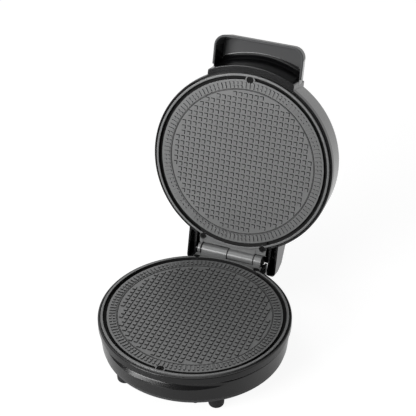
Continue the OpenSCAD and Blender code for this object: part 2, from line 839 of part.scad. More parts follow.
// Rear block between the arms, which squares off the drum above the hinge
module rear_block() {
    near = land_r * 0.75;
    top = lid_h - back_drop;
    difference() {
        translate([-rear_half, near, rear_z]) cube([rear_half * 2, rear_y - near, top - rear_z]);
        translate([wall - rear_half, near - 5, rear_z + wall])
            cube([(rear_half - wall) * 2, rear_y - near + 5 - wall, top - rear_z - 2 * wall]);
        translate([0, 0, -1]) cylinder(r = shell_in_r + 0.6, h = lid_h + 2);
    }
}

// The wall behind the hinge, which closes the gap between the arms
module hinge_apron() {
    half = arm_in + arm_wall / 2;
    translate([-half, rear_y - wall / 2, apron_z]) cube([half * 2, apron_end - rear_y + wall / 2, wall]);
}

// The slot in the lid's rim for the upper plate's tab and the swinging barrels
module lid_hinge_opening() {
    half = arm_in - 0.3;
    above = 5;
    translate([-half, land_r - 4, -above]) cube([half * 2, rear_y - land_r + 3, above + ledge_z]);
    translate([-half, tab_end - 1.5, -above]) cube([half * 2, bay_back, above + hinge_slot_z]);
}

// Places its children at the handle's screws, with +Z towards the handle
module at_handle_screws(y) {
    for (s = [-1, 1]) translate([s * handle_screw_x, -y, handle_screw_z]) rotate([90, 0, 0]) children();
}

module lid_housing() {
    color([0.14, 0.14, 0.15]) lid_frame() difference() {
        union() {
            rotate_extrude($fn = 180) lid_section();
            front_lip();
            hinge_arm();
            mirror([1, 0, 0]) hinge_arm();
            rear_block();
            hinge_apron();
            at_plate_screws() translate([0, 0, ledge_z]) cylinder(r = boss_r, h = boss_h, $fn = 48);
        }
        difference() {
            lip_hollow();
            translate([0, -screw_ring, 0]) cylinder(r = boss_r, h = ledge_z + boss_h, $fn = 48);
            at_handle_screws(handle_screw_y) cylinder(r = boss_r, h = 20, $fn = 48);
        }
        lid_hinge_opening();
        at_plate_screws() cylinder(r = screw_r + screw_fit, h = ledge_z + boss_h - 3, $fn = 32);
        at_handle_screws(handle_screw_y - 34) {
            cylinder(r = screw_r + screw_pass, h = 60, $fn = 32);
            cylinder(r = boss_r + boss_fit, h = 34, $fn = 48);
        }
    }
}

// One level of the scoop: a rectangle with two round front corners
module scoop_plan(inset, corner) {
    mirror([0, 1]) rounded_end(inset - handle_w / 2, handle_w / 2 - inset, housing_r * 0.8,
        handle_reach - inset, corner);
}

// Solid scoop between its open rim and its roof, smaller by an inset on the sides
module scoop(inset, low, high) {
    hull() {
        translate([0, 0, low]) linear_extrude(0.02) scoop_plan(inset, handle_corner - inset);
        translate([0, 0, high - handle_edge]) linear_extrude(0.02)
            scoop_plan(inset + handle_draft, handle_corner - inset);
        translate([0, 0, high - handle_edge * 0.3]) linear_extrude(0.02)
            scoop_plan(inset + handle_draft + handle_edge * 0.3, handle_corner - inset);
        translate([0, 0, high - 0.02]) linear_extrude(0.02)
            scoop_plan(inset + handle_draft + handle_edge, handle_corner - inset - 1);
    }
}

// The handle's curved neck, with a swept corner under the roof
module neck_section() {
    roof = roof_z - handle_wall;
    polygon(concat(
        [[seam_r + seam_fit, handle_rim + fit], [lip_r, handle_rim + fit]],
        [for (a = [0:15:90]) [lip_r + neck_sweep * (1 - cos(a)), roof - neck_sweep * (1 - sin(a))]],
        [[lip_r + neck_sweep, roof + 0.5], [seam_r + seam_fit, roof + 0.5]]
    ));
}

// Hollow scoop handle, open towards the face, seated on the front lip and the drum
module handle() {
    color([0.16, 0.16, 0.17]) lid_frame() difference() {
        union() {
            difference() {
                scoop(0, handle_rim, roof_z);
                scoop(handle_wall, handle_rim - 1, roof_z - handle_wall);
            }
            intersection() {
                rotate_extrude($fn = 180) neck_section();
                scoop(fit, handle_rim, roof_z - fit);
            }
        }
        cylinder(r = seam_r + seam_fit, h = lid_h * 2, $fn = 180);
        translate([0, 0, handle_rim - 2]) cylinder(r = lip_r + 0.2, h = 2 + fit, $fn = 180);
        for (s = [-1, 1]) translate([s * (lip_half + 10 + fit) - 10, -skirt_end, 0])
            cube([20, housing_r, lid_h * 2]);
        at_handle_screws(handle_screw_y)
            cylinder(r = screw_r + screw_fit, h = handle_screw_l + 0.4, $fn = 32);
    }
}

module handle_screws() {
    color([0.6, 0.6, 0.62]) lid_frame() at_handle_screws(handle_screw_y) screw(handle_screw_l);
}

base_housing();
bottom_cover();
cover_screws();
feet();
foot_screws();
cord_gland();
lower_plate();
lower_plate_screws();
lower_element();
lower_reflector();
lower_reflector_screws();
thermostat();
thermal_fuse();
terminal_block();
hinge_pin();
pin_clip();
lid_housing();
handle();
handle_screws();
upper_plate();
upper_plate_screws();
upper_element();
upper_reflector();
upper_reflector_screws();
upper_thermostat();
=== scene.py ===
"""Looks of a waffle cone maker that lies open: the moulded housings, the two cast plates with
their waffle studs and tick band, the scoop handle, the feet, and the studio around them.

Every piece is first drawn in millimetres in the frame of its own plate: the origin is the
centre of the waffle field, +Y runs to the hinge and +Z leads away from the field into the
housing. seat_piece() then turns it into the row's frame, in metres.
"""
import json
import math

import bmesh
import bpy
from mathutils import Matrix, Vector


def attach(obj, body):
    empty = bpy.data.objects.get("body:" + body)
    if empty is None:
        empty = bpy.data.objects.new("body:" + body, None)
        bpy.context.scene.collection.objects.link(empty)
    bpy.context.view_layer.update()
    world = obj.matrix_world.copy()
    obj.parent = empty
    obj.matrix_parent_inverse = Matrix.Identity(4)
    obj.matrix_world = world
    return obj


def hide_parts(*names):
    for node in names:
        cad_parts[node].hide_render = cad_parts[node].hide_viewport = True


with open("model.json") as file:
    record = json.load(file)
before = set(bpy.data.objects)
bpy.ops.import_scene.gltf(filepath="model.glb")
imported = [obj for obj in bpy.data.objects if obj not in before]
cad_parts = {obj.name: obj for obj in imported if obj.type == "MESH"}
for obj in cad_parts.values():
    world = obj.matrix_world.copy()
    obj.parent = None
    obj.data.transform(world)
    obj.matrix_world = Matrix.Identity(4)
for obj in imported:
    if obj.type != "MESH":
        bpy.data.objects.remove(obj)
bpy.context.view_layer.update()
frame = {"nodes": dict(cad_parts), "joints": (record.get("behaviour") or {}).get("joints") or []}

# ---- Sizes in millimetres ----
# They are the solids' own, except that some fine details are bolder here, so that they read:
# the depth of the channel, studs, ticks, the edge of the plates and its seat, the spans of the
# knuckles, the room for a barrel, and the rounding of the lip.

HINGE_BACK = 107.0          # plate centre to hinge axis
OPEN_ANGLE = 104.5
PLATE_GAP = 3.0
LAND_R = 91.7
CHANNEL_R = 95.5
CHANNEL_DEPTH = 3.2
PLATE_R = 97.9
RIM_RISE = 1.1
FLANGE_T = 4.4
PLATE_T = 7.0
STUD_PITCH = 6.0
STUD_W = 4.2
STUD_TOP_W = 3.3
STUD_H = 1.1
STUD_FIELD_R = 77.8
CIRCLE_R = 81.0
CIRCLE_W = 0.8
TICK_IN_R = 82.6
TICK_OUT_R = 89.2
TICK_W = 1.8
TICK_H = 1.1
TICKS = 120
TICK_GROUP = 6.0            # three long ticks and three split ones
LAST_LONG_TICK = 2.5        # ticks of a group beyond this count are split
SPLIT_SHARE = 0.4           # length of each half of a split tick, of a long one
SCREW_RING = 92.1
REAR_SCREW = (34.6, 93.12)
SCREW_LAND_R = 5.2
REAR_LAND_R = 4.2
SINK_R = 3.9
SINK_DEPTH = 2.6
SCREW_HOLE_R = 2.1
TAB_HALF = 38.4
TAB_LO = 0.6
BARREL_R = 6.0
KNUCKLE_GAP = 0.4
BARREL_ROOM_R = 7.1         # a neighbour's barrel turns in this
BARREL_FACETS = 64
UPPER_SHORT = (-37.6, -34.6)
LOWER_LONG = (-32.8, -3.7)
UPPER_LONG = (-2.5, 26.6)
LOWER_SHORT = (27.8, 36.0)
PIN_HOLE_R = 2.56

HOUSING_R = 101.0
HOUSING_END_R = 97.5
SHELL_IN_R = 95.1
LEDGE_Z = 4.5
RIM_IN_R = 99.0
BASE_H = 33.5
LID_H = 40.0
BAY_HALF = 41.4
BAY_BACK = 114.5
WALL = 2.4
ARM_IN = 42.1
ARM_OUT = 51.8
ARM_END = 123.0
ARM_H = 22.0
ARM_WALL = 2.0
LIP_R = 106.5
LIP_HALF = 48.0
LIP_EDGE = 0.8              # rounding of the lip's edge
HANDLE_RIM = 18.0
HANDLE_HALF = 50.0
HANDLE_REACH = 130.5
HANDLE_CORNER = 13.0
HANDLE_DRAFT = 3.5
HANDLE_WALL = 2.6
HANDLE_CROWN_R = 3.2
NECK_SWEEP = 8.0            # rounding where the neck meets the roof
SEAM_R = 102.6
RECESS_BACK = 25.0
RECESS_R = 119.8
FOOT_H = 15.0
FOOT_R = 8.8
FOOT_RING = 85.0
FOOT_ANGLE = 53.6
REAR_FOOT = (28.0, 101.0)

AROUND = 256                # facets round a drum


# ---- Drawing aids ----

def rounded(corners, steps=6):
    """Closed outline through (a, b, radius) corners, each radius turned into an arc."""
    outline = []
    count = len(corners)
    for i, (a, b, radius) in enumerate(corners):
        here = Vector((a, b))
        if radius <= 0:
            outline.append(here)
            continue
        before = (Vector(corners[i - 1][:2]) - here).normalized()
        after = (Vector(corners[(i + 1) % count][:2]) - here).normalized()
        half = before.angle(after) / 2
        reach = radius / math.tan(half)
        centre = here + (before + after).normalized() * (radius / math.sin(half))
        start = here + before * reach - centre
        turn = start.angle_signed(here + after * reach - centre)
        for k in range(steps + 1):
            spun = start.copy()
            spun.rotate(Matrix.Rotation(-turn * k / steps, 2))
            outline.append(centre + spun)
    return outline


def solid(name, verts, faces):
    """Object with a closed mesh whose faces point outwards."""
    mesh = bpy.data.meshes.new(name)
    mesh.from_pydata([tuple(v) for v in verts], [], faces)
    work = bmesh.new()
    work.from_mesh(mesh)
    bmesh.ops.remove_doubles(work, verts=work.verts, dist=1e-5)
    bmesh.ops.recalc_face_normals(work, faces=work.faces)
    work.to_mesh(mesh)
    work.free()
    made = bpy.data.objects.new(name, mesh)
    bpy.context.scene.collection.objects.link(made)
    return made


def turned(name, outline, centre=(0.0, 0.0), around=AROUND):
    """Solid made by turning an outline of (radius, z) points about an upright axis."""
    rows = len(outline)
    verts = []
    for k in range(around):
        angle = 2 * math.pi * k / around
        verts += [(centre[0] + p[0] * math.cos(angle), centre[1] + p[0] * math.sin(angle), p[1])
                  for p in outline]
    faces = []
    for k in range(around):
        near, far = k * rows, (k + 1) % around * rows
        for j in range(rows):
            nxt = (j + 1) % rows
            on_axis = outline[j][0] < 1e-6, outline[nxt][0] < 1e-6
            if all(on_axis):
                continue
            if on_axis[0]:
                faces.append((near + j, near + nxt, far + nxt))
            elif on_axis[1]:
                faces.append((near + j, near + nxt, far + j))
            else:
                faces.append((near + j, near + nxt, far + nxt, far + j))
    return solid(name, verts, faces)


def lofted(name, outlines):
    """Solid through stacked outlines of equally many points, closed by its first and last."""
    rows = len(outlines[0])
    verts = [v for outline in outlines for v in outline]
    faces = [tuple(range(rows)), tuple(range(len(verts) - rows, len(verts)))]
    for k in range(len(outlines) - 1):
        for j in range(rows):
            nxt = (j + 1) % rows
            low, high = k * rows, (k + 1) * rows
            faces.append((low + j, low + nxt, high + nxt, high + j))
    return solid(name, verts, faces)


def prism(name, outline, low, high):
    """Upright block over a flat outline."""
    return lofted(name, [[(p[0], p[1], z) for p in outline] for z in (low, high)])


def side_prism(name, outline, left, right):
    """Block with an outline of (y, z) points, drawn out along X."""
    return lofted(name, [[(x, p[0], p[1]) for p in outline] for x in (left, right)])


def rod(name, radius, start, end, facets=48):
    """Round bar between two points."""
    axis = Vector(end) - Vector(start)
    turn = Vector((0, 0, 1)).rotation_difference(axis)
    bar = prism(name, [(radius * math.cos(2 * math.pi * k / facets),
                        radius * math.sin(2 * math.pi * k / facets))
                       for k in range(facets)], 0, axis.length)
    bar.data.transform(Matrix.Translation(start) @ turn.to_matrix().to_4x4())
    return bar


def block(name, low, high):
    """Plain rectangular block between two corners."""
    return prism(name, [(low[0], low[1]), (high[0], low[1]), (high[0], high[1]),
                        (low[0], high[1])], low[2], high[2])


def bake(piece):
    """Makes a piece's modifiers part of its mesh."""
    bpy.context.view_layer.update()
    seen = piece.evaluated_get(bpy.context.evaluated_depsgraph_get())
    piece.data = bpy.data.meshes.new_from_object(seen)
    piece.modifiers.clear()
    return piece


def shaped(piece, tool, operation):
    """Adds a tool to a piece, cuts it away, or keeps what both share. The tool is used up."""
    change = piece.modifiers.new("shape", "BOOLEAN")
    change.operation = operation
    change.solver = "MANIFOLD"
    change.object = tool
    bake(piece)
    bpy.data.objects.remove(tool)
    return piece


def add(piece, *tools):
    """Joins tools to a piece."""
    for tool in tools:
        shaped(piece, tool, "UNION")
    return piece


def cut(piece, *tools):
    """Cuts tools away from a piece."""
    for tool in tools:
        shaped(piece, tool, "DIFFERENCE")
    return piece


def common(piece, *tools):
    """Keeps what a piece shares with each tool."""
    for tool in tools:
        shaped(piece, tool, "INTERSECT")
    return piece


def joined(name, pieces):
    """One object out of several, each kept as its own island."""
    work = bmesh.new()
    for piece in pieces:
        work.from_mesh(piece.data)
    mesh = bpy.data.meshes.new(name)
    work.to_mesh(mesh)
    work.free()
    for piece in pieces:
        bpy.data.objects.remove(piece)
    made = bpy.data.objects.new(name, mesh)
    bpy.context.scene.collection.objects.link(made)
    return made


def mirrored(piece):
    """Copy of a piece on the other side of the plane x = 0."""
    twin = bpy.data.objects.new(piece.name + "_twin", piece.data.copy())
    twin.data.transform(Matrix.Scale(-1, 4, (1, 0, 0)))
    twin.data.flip_normals()
    bpy.context.scene.collection.objects.link(twin)
    return twin


# ---- Where the two halves of the maker sit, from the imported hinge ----

hinge = Vector(frame["joints"][0]["pos_m"])
to_metres = Matrix.Scale(0.001, 4)
field_low = hinge - Vector((0, HINGE_BACK, PLATE_GAP / 2)) * 0.001
field_high = hinge + Vector((0, -HINGE_BACK, PLATE_GAP / 2)) * 0.001
BASE_SEAT = Matrix.Translation(field_low) @ Matrix.Scale(-1, 4, (0, 0, 1)) @ to_metres
LID_SEAT = (Matrix.Translation(hinge) @ Matrix.Rotation(-math.radians(OPEN_ANGLE), 4, "X")
            @ Matrix.Translation(-hinge) @ Matrix.Translation(field_high) @ to_metres)


def seat_piece(piece, body, material, slot, *nodes, crease=38, second=None, chosen=None):
    """Puts a finished piece in its place, on its body, in place of its plain solids.

    The faces whose centre and normal pass the chosen test get the second finish; both callers
    use it for painted shade.
    """
    picked = [int(chosen is not None and chosen(face.center, face.normal))
              for face in piece.data.polygons]
    seat = LID_SEAT if body == "lid" else BASE_SEAT
    piece.data.transform(seat)
    if seat.determinant() < 0:
        piece.data.flip_normals()
    piece.data.materials.clear()
    piece.data.materials.append(material)
    if second is not None:
        piece.data.materials.append(second)
    piece.data.polygons.foreach_set("material_index", picked)
    piece.data.shade_smooth()
    piece.data.set_sharp_from_angle(angle=math.radians(crease))
    even = piece.modifiers.new("even", "WEIGHTED_NORMAL")
    even.keep_sharp = True
    bake(piece)
    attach(piece, body)
    if nodes:
        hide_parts(*nodes)
    return piece


# ---- Finishes ----

def new_group(name, inputs, outputs):
    """Empty shader node group with number sockets and the given output kinds."""
    group = bpy.data.node_groups.new(name, "ShaderNodeTree")
    for label, value in inputs:
        socket = group.interface.new_socket(label, in_out="INPUT",
                                            socket_type="NodeSocketFloat")
        socket.default_value = value
    for label, kind in outputs:
        group.interface.new_socket(label, in_out="OUTPUT", socket_type=kind)
    return group, group.nodes.new("NodeGroupInput"), group.nodes.new("NodeGroupOutput")


def moulded_grain():
    """Fine grain of a moulded or sprayed face: a height, and a roughness that wanders."""
    group, given, out = new_group(
        "moulded grain",
        [("Grain Size", 900.0), ("Roughness", 0.3), ("Wander", 0.05)],
        [("Height", "NodeSocketFloat"), ("Roughness", "NodeSocketFloat")])
    nodes, links = group.nodes, group.links
    place = nodes.new("ShaderNodeTexCoord")
    grain = nodes.new("ShaderNodeTexNoise")
    grain.inputs["Detail"].default_value = 3.0
    cloud = nodes.new("ShaderNodeTexNoise")
    cloud.inputs["Scale"].default_value = 26.0
    cloud.inputs["Detail"].default_value = 2.0
    links.new(place.outputs["Object"], grain.inputs["Vector"])
    links.new(place.outputs["Object"], cloud.inputs["Vector"])
    links.new(given.outputs["Grain Size"], grain.inputs["Scale"])
    links.new(grain.outputs["Fac"], out.inputs["Height"])
    centred = nodes.new("ShaderNodeMath")
    centred.operation = "SUBTRACT"
    centred.inputs[1].default_value = 0.5
    links.new(cloud.outputs["Fac"], centred.inputs[0])
    scaled = nodes.new("ShaderNodeMath")
    scaled.operation = "MULTIPLY_ADD"
    links.new(centred.outputs[0], scaled.inputs[0])
    links.new(given.outputs["Wander"], scaled.inputs[1])
    links.new(given.outputs["Roughness"], scaled.inputs[2])
    links.new(scaled.outputs[0], out.inputs["Roughness"])
    return group


GRAIN = moulded_grain()


def finish_material(name, colour, roughness, metallic=0.0, specular=0.5, grain=0.0,
                    grain_size=900.0, wander=0.05):
    """Plain finish with a fine grain in its height and roughness."""
    material = bpy.data.materials.new(name)
    material.use_nodes = True
    nodes, links = material.node_tree.nodes, material.node_tree.links
    shader = nodes["Principled BSDF"]
    shader.inputs["Base Color"].default_value = (*colour, 1)
    shader.inputs["Metallic"].default_value = metallic
    shader.inputs["Specular IOR Level"].default_value = specular
    shader.inputs["Roughness"].default_value = roughness
    if grain > 0:
        surface = nodes.new("ShaderNodeGroup")
        surface.node_tree = GRAIN
        surface.inputs["Grain Size"].default_value = grain_size
        surface.inputs["Roughness"].default_value = roughness
        surface.inputs["Wander"].default_value = wander
        bump = nodes.new("ShaderNodeBump")
        bump.inputs["Strength"].default_value = grain
        bump.inputs["Distance"].default_value = 0.0004
        links.new(surface.outputs["Height"], bump.inputs["Height"])
        links.new(bump.outputs["Normal"], shader.inputs["Normal"])
        links.new(surface.outputs["Roughness"], shader.inputs["Roughness"])
    return material


black_plastic = finish_material("black moulded plastic", (0.004, 0.004, 0.0045), 0.2,
                                grain=0.03, grain_size=700, wander=0.05)
cover_plastic = finish_material("satin cover plastic", (0.05, 0.05, 0.052), 0.45)
handle_plastic = finish_material("satin handle plastic", (0.092, 0.093, 0.095), 0.4,
                                 specular=0.18, grain=0.08, grain_size=1200, wander=0.05)
plate_coating = finish_material("non-stick coating", (0.15, 0.152, 0.152), 0.32, specular=0.9,
                                grain=0.12, grain_size=1400, wander=0.05)
# Painted shade: a dark, dull copy of the coating for the sides of studs and ticks and the
# grooves.
crease_painted_shade = finish_material("painted shade in the plate creases", (0.02, 0.02, 0.02), 0.7,
                                 specular=0.1)
screw_black = finish_material("blackened screws", (0.005, 0.005, 0.005), 0.6, specular=0.2)
plain_steel = finish_material("plain steel", (0.5, 0.5, 0.51), 0.32, metallic=1.0,
                              grain=0.06, grain_size=500)
bright_sheet = finish_material("bright aluminium sheet", (0.72, 0.72, 0.73), 0.28, metallic=1.0)
foot_rubber = finish_material("foot rubber", (0.014, 0.014, 0.015), 0.5, specular=0.3,
                              grain=0.15, grain_size=1100)
pale_moulding = finish_material("pale heat-proof moulding", (0.78, 0.76, 0.7), 0.5)

NODE_FINISH = {
    "bottom_cover": cover_plastic, "cover_screws": screw_black, "foot_screws": plain_steel,
    "cord_gland": foot_rubber, "lower_plate_screws": screw_black,
    "upper_plate_screws": screw_black, "handle_screws": plain_steel,
    "lower_element": plain_steel, "upper_element": plain_steel,
    "lower_reflector": bright_sheet, "upper_reflector": bright_sheet,
    "lower_reflector_screws": plain_steel, "upper_reflector_screws": plain_steel,
    "thermostat": pale_moulding, "upper_thermostat": pale_moulding,
    "thermal_fuse": pale_moulding, "terminal_block": pale_moulding,
    "hinge_pin": screw_black, "pin_clip": screw_black,
}


def finish_cad_nodes():
    """Gives the solids that stay in view, or inside, their finishes."""
    for name, material in NODE_FINISH.items():
        node = frame["nodes"][name]
        node.data.materials.clear()
        node.data.materials.append(material)


# ---- Waffle plates ----

def numbered_tree(name, inputs):
    """Empty geometry node tree with named number inputs and a material input."""
    tree = bpy.data.node_groups.new(name, "GeometryNodeTree")
    tree.interface.new_socket("Geometry", in_out="INPUT", socket_type="NodeSocketGeometry")
    for label, kind in inputs:
        tree.interface.new_socket(label, in_out="INPUT", socket_type=kind)
    tree.interface.new_socket("Material", in_out="INPUT", socket_type="NodeSocketMaterial")
    tree.interface.new_socket("Geometry", in_out="OUTPUT", socket_type="NodeSocketGeometry")
    return tree, tree.nodes.new("NodeGroupInput"), tree.nodes.new("NodeGroupOutput")


def math_node(tree, operation, first, second=None):
    """Math node whose inputs are sockets or plain numbers; gives its output."""
    made = tree.nodes.new("ShaderNodeMath")
    made.operation = operation
    for slot, value in enumerate((first, second)):
        if value is None:
            continue
        if isinstance(value, (int, float)):
            made.inputs[slot].default_value = value
        else:
            tree.links.new(value, made.inputs[slot])
    return made.outputs[0]


def close_tree(tree, given, out, geometry):
    """Ends a tree: the instances become one mesh in the given material."""
    real = tree.nodes.new("GeometryNodeRealizeInstances")
    coat = tree.nodes.new("GeometryNodeSetMaterial")
    tree.links.new(geometry, real.inputs["Geometry"])
    tree.links.new(real.outputs["Geometry"], coat.inputs["Geometry"])
    tree.links.new(given.outputs["Material"], coat.inputs["Material"])
    tree.links.new(coat.outputs["Geometry"], out.inputs["Geometry"])


def stud_tree():
    """Square studs with sloping sides, in straight rows that fill a round field."""
    tree, given, out = numbered_tree("waffle studs", [
        ("Pitch", "NodeSocketFloat"), ("Foot Width", "NodeSocketFloat"),
        ("Top Width", "NodeSocketFloat"), ("Height", "NodeSocketFloat"),
        ("Field Radius", "NodeSocketFloat"), ("Rows", "NodeSocketInt")])
    nodes, links = tree.nodes, tree.links
    across = math_node(tree, "MULTIPLY", given.outputs["Pitch"],
                       math_node(tree, "SUBTRACT", given.outputs["Rows"], 1))
    grid = nodes.new("GeometryNodeMeshGrid")
    for side in ("Size X", "Size Y"):
        links.new(across, grid.inputs[side])
    for side in ("Vertices X", "Vertices Y"):
        links.new(given.outputs["Rows"], grid.inputs[side])
    place = nodes.new("GeometryNodeInputPosition")
    reach = nodes.new("ShaderNodeVectorMath")
    reach.operation = "LENGTH"
    links.new(place.outputs[0], reach.inputs[0])
    beyond = nodes.new("FunctionNodeCompare")
    beyond.operation = "GREATER_THAN"
    links.new(reach.outputs["Value"], beyond.inputs["A"])
    links.new(given.outputs["Field Radius"], beyond.inputs["B"])
    inside = nodes.new("GeometryNodeDeleteGeometry")
    inside.domain = "POINT"
    links.new(grid.outputs["Mesh"], inside.inputs["Geometry"])
    links.new(beyond.outputs["Result"], inside.inputs["Selection"])
    stud = nodes.new("GeometryNodeMeshCone")
    stud.inputs["Vertices"].default_value = 4
    to_corner = math.sqrt(0.5)
    links.new(math_node(tree, "MULTIPLY", given.outputs["Top Width"], to_corner),
              stud.inputs["Radius Top"])
    links.new(math_node(tree, "MULTIPLY", given.outputs["Foot Width"], to_corner),
              stud.inputs["Radius Bottom"])
    links.new(given.outputs["Height"], stud.inputs["Depth"])
    face_down = nodes.new("GeometryNodeTransform")
    face_down.inputs["Rotation"].default_value = (math.pi, 0, math.pi / 4)
    links.new(stud.outputs["Mesh"], face_down.inputs["Geometry"])
    rows = nodes.new("GeometryNodeInstanceOnPoints")
    links.new(inside.outputs["Geometry"], rows.inputs["Points"])
    links.new(face_down.outputs["Geometry"], rows.inputs["Instance"])
    close_tree(tree, given, out, rows.outputs["Instances"])
    return tree


def tick_tree():
    """Ring of raised ticks: three long ones, then three that are split in two, and so on."""
    tree, given, out = numbered_tree("tick band", [
        ("Inner Radius", "NodeSocketFloat"), ("Outer Radius", "NodeSocketFloat"),
        ("Width", "NodeSocketFloat"), ("Height", "NodeSocketFloat"),
        ("Ticks", "NodeSocketInt"), ("Start Angle", "NodeSocketFloat")])
    nodes, links = tree.nodes, tree.links
    dots = nodes.new("GeometryNodePoints")
    links.new(given.outputs["Ticks"], dots.inputs["Count"])
    number = nodes.new("GeometryNodeInputIndex").outputs[0]
    step = math_node(tree, "DIVIDE", 2 * math.pi, given.outputs["Ticks"])
    angle = math_node(tree, "ADD", math_node(tree, "MULTIPLY", number, step),
                      given.outputs["Start Angle"])
    facing = nodes.new("ShaderNodeCombineXYZ")
    links.new(angle, facing.inputs["Z"])
    in_group = math_node(tree, "MODULO", number, TICK_GROUP)
    is_split = math_node(tree, "GREATER_THAN", in_group, LAST_LONG_TICK)
    is_long = math_node(tree, "LESS_THAN", in_group, LAST_LONG_TICK)
    full = math_node(tree, "SUBTRACT", given.outputs["Outer Radius"],
                     given.outputs["Inner Radius"])

    def bar(length, start):
        """One bar along X from a start radius, half sunk in the plate."""
        size = nodes.new("ShaderNodeCombineXYZ")
        links.new(length, size.inputs["X"])
        links.new(given.outputs["Width"], size.inputs["Y"])
        links.new(math_node(tree, "MULTIPLY", given.outputs["Height"], 2.0), size.inputs["Z"])
        box = nodes.new("GeometryNodeMeshCube")
        links.new(size.outputs[0], box.inputs["Size"])
        centre = nodes.new("ShaderNodeCombineXYZ")
        links.new(math_node(tree, "ADD", start, math_node(tree, "MULTIPLY", length, 0.5)),
                  centre.inputs["X"])
        moved = nodes.new("GeometryNodeTransform")
        links.new(box.outputs["Mesh"], moved.inputs["Geometry"])
        links.new(centre.outputs[0], moved.inputs["Translation"])
        return moved.outputs["Geometry"]

    short = math_node(tree, "MULTIPLY", full, SPLIT_SHARE)
    pair = nodes.new("GeometryNodeJoinGeometry")
    links.new(bar(short, given.outputs["Inner Radius"]), pair.inputs["Geometry"])
    links.new(bar(short, math_node(tree, "SUBTRACT", given.outputs["Outer Radius"], short)),
              pair.inputs["Geometry"])
    band = nodes.new("GeometryNodeJoinGeometry")
    for shape, chosen in ((bar(full, given.outputs["Inner Radius"]), is_long),
                          (pair.outputs["Geometry"], is_split)):
        ring = nodes.new("GeometryNodeInstanceOnPoints")
        links.new(dots.outputs["Geometry"], ring.inputs["Points"])
        links.new(chosen, ring.inputs["Selection"])
        links.new(shape, ring.inputs["Instance"])
        links.new(facing.outputs[0], ring.inputs["Rotation"])
        links.new(ring.outputs["Instances"], band.inputs["Geometry"])
    close_tree(tree, given, out, band.outputs["Geometry"])
    return tree


def grown(name, tree, **values):
    """Plain mesh grown by a geometry node tree with the given named inputs."""
    made = bpy.data.objects.new(name, bpy.data.meshes.new(name))
    bpy.context.scene.collection.objects.link(made)
    growth = made.modifiers.new(name, "NODES")
    growth.node_group = tree
    for item in tree.interface.items_tree:
        if item.in_out == "INPUT" and item.name.replace(" ", "_") in values:
            growth[item.identifier] = values[item.name.replace(" ", "_")]
    return bake(made)


STUDS = stud_tree()
TICK_BAND = tick_tree()


def knuckle(span):
    """One cast barrel on the hinge axis and its web to the plate's tab."""
    axis_z = -PLATE_GAP / 2
    barrel = rod("barrel", BARREL_R, (span[0], HINGE_BACK, axis_z),
                 (span[1], HINGE_BACK, axis_z), BARREL_FACETS)
    return add(barrel, block("web", (span[0], HINGE_BACK - 10.7, TAB_LO - 0.7),
                             (span[1], HINGE_BACK, FLANGE_T)))


def hinge_tab():
    """Flat tab behind the plate, whose hollowed edge follows the barrels."""
    axis_z = -PLATE_GAP / 2
    tab = block("tab", (-TAB_HALF, 68, TAB_LO), (TAB_HALF, HINGE_BACK - 2.7, FLANGE_T))
    return cut(tab, rod("barrel room", BARREL_ROOM_R, (-TAB_HALF - 1, HINGE_BACK, axis_z),
                        (TAB_HALF + 1, HINGE_BACK, axis_z), BARREL_FACETS))


def plate_screw_places():
    """Where the front screw and the two beside the hinge hold a plate."""
    return [(0.0, -SCREW_RING), (-REAR_SCREW[0], REAR_SCREW[1]), REAR_SCREW]


def cast_plate(name, own, others):
    """Round cast plate with its rim, overflow channel, screw lands, tab and knuckles."""
    plate = turned(name, rounded([
        (0, 0, 0), (CIRCLE_R - CIRCLE_W, 0, 0.2), (CIRCLE_R - 0.15, -0.4, 0.1),
        (CIRCLE_R + 0.15, -0.4, 0.1), (CIRCLE_R + CIRCLE_W, 0, 0.2),
        (LAND_R, 0, 0.25), (LAND_R + 0.3, CHANNEL_DEPTH, 0.4),
        (CHANNEL_R - 0.3, CHANNEL_DEPTH, 0.4), (CHANNEL_R, -RIM_RISE, 0.4),
        (PLATE_R, -RIM_RISE, 0.5), (PLATE_R, FLANGE_T, 0.4), (92, FLANGE_T, 0),
        (91, PLATE_T, 0), (0, PLATE_T, 0)], 4))
    lands = [rod("screw land", SCREW_LAND_R if y < 0 else REAR_LAND_R, (x, y, 0.0),
                 (x, y, FLANGE_T)) for x, y in plate_screw_places()]
    add(plate, hinge_tab(), *lands, *[knuckle(span) for span in own])
    axis_z = -PLATE_GAP / 2
    for span in others:
        cut(plate, rod("notch", BARREL_ROOM_R, (span[0] - KNUCKLE_GAP, HINGE_BACK, axis_z),
                       (span[1] + KNUCKLE_GAP, HINGE_BACK, axis_z), BARREL_FACETS))
    cut(plate, rod("pin hole", PIN_HOLE_R, (-60, HINGE_BACK, axis_z),
                   (60, HINGE_BACK, axis_z), 32))
    for x, y in plate_screw_places():
        cut(plate, rod("sink", SINK_R, (x, y, -3), (x, y, SINK_DEPTH)),
            rod("screw hole", SCREW_HOLE_R, (x, y, 0), (x, y, 20), 24))
    rows = 2 * int(STUD_FIELD_R / STUD_PITCH) + 2
    studs = grown("studs", STUDS, Pitch=STUD_PITCH, Foot_Width=STUD_W, Top_Width=STUD_TOP_W,
                  Height=STUD_H, Field_Radius=STUD_FIELD_R, Rows=rows, Material=plate_coating)
    ticks = grown("ticks", TICK_BAND, Inner_Radius=TICK_IN_R, Outer_Radius=TICK_OUT_R,
                  Width=TICK_W, Height=TICK_H, Ticks=TICKS,
                  Start_Angle=-math.pi / 2 - 2 * math.pi / TICKS, Material=plate_coating)
    return joined(name, [plate, studs, ticks])


def in_shaded_crease(centre, normal):
    """Whether a face of a plate is a side of a stud or tick, or lies in a groove: these get
    painted shade.
    """
    return math.hypot(centre.x, centre.y) < CHANNEL_R + 0.1 and (
        abs(normal.z) < 0.9 or 0.3 < centre.z < FLANGE_T - 0.5)


# ---- Base ----

def plate_room():
    """The room that a plate's flange needs in its housing."""
    return turned("plate room", [(0, -5), (RIM_IN_R - 0.05, -5), (RIM_IN_R - 0.05, LEDGE_Z),
                                 (0, LEDGE_Z)])


